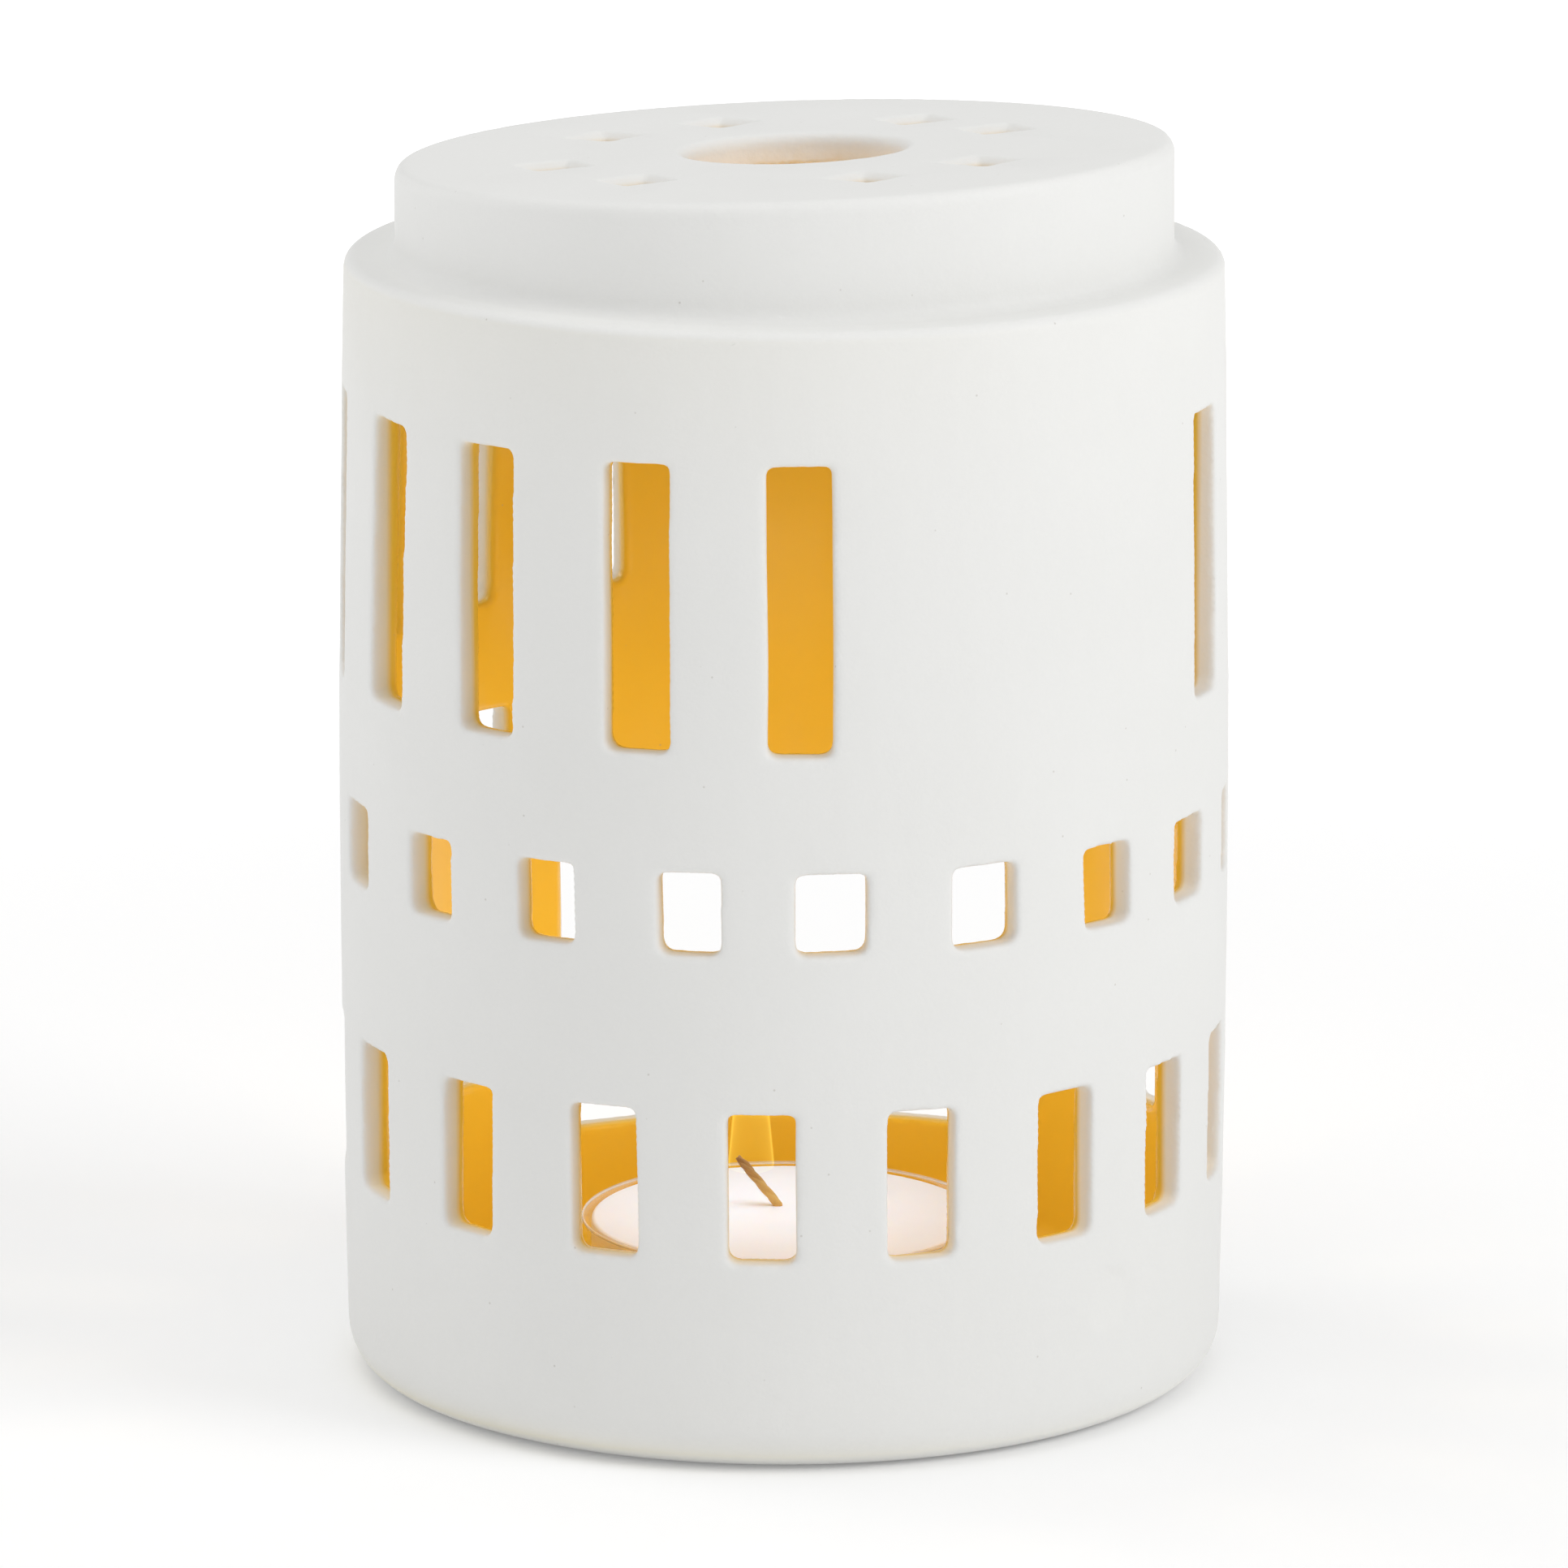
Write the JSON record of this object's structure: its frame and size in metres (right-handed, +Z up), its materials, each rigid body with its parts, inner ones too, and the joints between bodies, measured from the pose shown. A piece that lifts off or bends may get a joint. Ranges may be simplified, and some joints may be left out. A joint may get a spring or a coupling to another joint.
{
  "type": "tealight holder",
  "caption": "White ceramic lantern drum for a tealight, with rows of cut windows, a slanted vented cap, a back doorway and a lift-out tealight.",
  "frame": {"origin": "middle of the flat underside, at the height it rests on", "axes": "+Z up; -Y is the front, with most of the windows; +Y is the back, with the doorway; +X is to the right seen from the front"},
  "size_m": [0.0866, 0.0866, 0.1224],
  "materials": {
    "clay": "matte white fired clay outside, clear glaze inside",
    "cup_plastic": "clear thin moulded plastic",
    "wax": "smooth white paraffin wax, slightly translucent",
    "wick": "waxed braided cotton, browned by the flame",
    "tin": "thin stamped sheet"
  },
  "bodies": {
    "lantern": {"lantern_body": "clay"},
    "tealight": {"tealight_cup": "cup_plastic", "tealight_wax": "wax", "wick": "wick", "wick_sustainer": "tin"}
  },
  "joints": [
    {"name": "tealight_out", "type": "slide", "parent": "lantern", "child": "tealight", "axis": [0, 0.8796, 0.4756], "range_m": [0, 0.08]}
  ]
}
